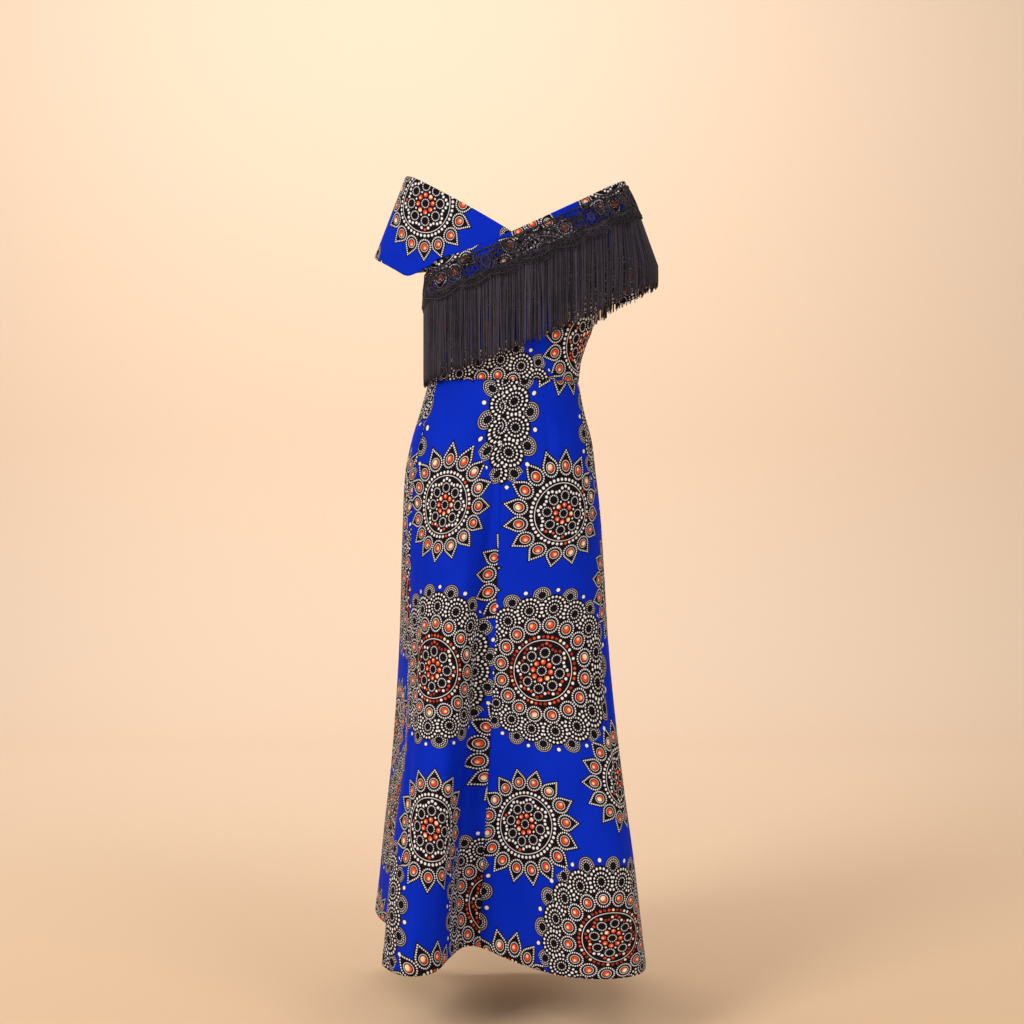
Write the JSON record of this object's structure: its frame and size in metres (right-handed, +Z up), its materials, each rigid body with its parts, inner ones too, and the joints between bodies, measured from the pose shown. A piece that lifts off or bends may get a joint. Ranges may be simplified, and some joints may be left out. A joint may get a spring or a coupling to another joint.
{
  "type": "maxi dress",
  "caption": "Off-shoulder maxi dress in worn form: fitted bodice, flared panelled skirt, crossed shoulder bands with lace trim and long fringe.",
  "frame": {"origin": "on the centre line between the two shoulder tips, level with them, where the wearer's shoulders hold the bands", "axes": "+Z up, +X towards the wearer's right, +Y towards the front of the dress and -Y towards its back"},
  "size_m": [0.5111, 0.4917, 1.3259],
  "materials": {
    "print_cotton": "royal blue wax-print cotton with dotted medallions",
    "black_lace": "matte black corded lace",
    "black_fringe": "black chainette fringe with a soft sheen"
  },
  "bodies": {
    "root": {"bodice_back": "print_cotton", "bodice_front": "print_cotton", "skirt_back_left": "print_cotton", "skirt_back_right": "print_cotton", "skirt_front": "print_cotton", "left_shoulder_band": "print_cotton", "wrap_band_back": "print_cotton", "wrap_band_front": "print_cotton", "lace_back": "black_lace", "lace_front": "black_lace", "fringe_back": "black_fringe", "fringe_front": "black_fringe"}
  },
  "joints": []
}
